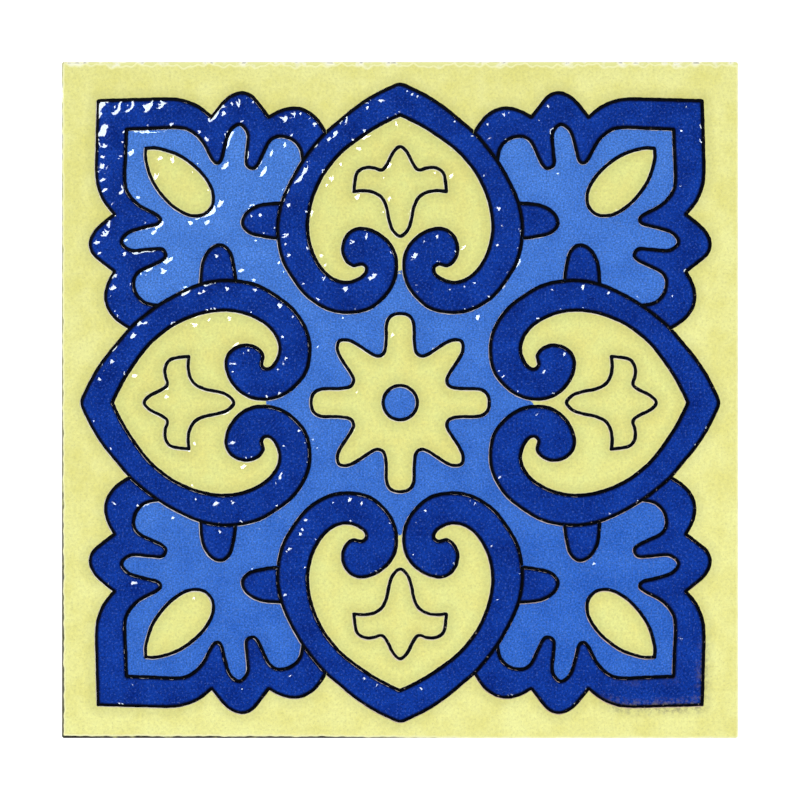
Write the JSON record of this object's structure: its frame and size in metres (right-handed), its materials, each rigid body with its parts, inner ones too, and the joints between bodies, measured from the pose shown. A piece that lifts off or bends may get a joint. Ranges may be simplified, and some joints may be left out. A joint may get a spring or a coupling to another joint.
{
  "type": "floral tile",
  "caption": "Square glazed wall tile with a raised dry-line floral pattern of hearts, leaves and a central flower in yellow and blue.",
  "frame": {"origin": "centre of the tile's flat back", "axes": "+Z out of the glazed face, +Y towards the top of the pattern as pictured, +X to its right"},
  "size_m": [0.152, 0.152, 0.0089],
  "materials": {
    "glazed_clay": "gloss"
  },
  "bodies": {
    "root": {"tile": "glazed_clay"}
  },
  "joints": []
}
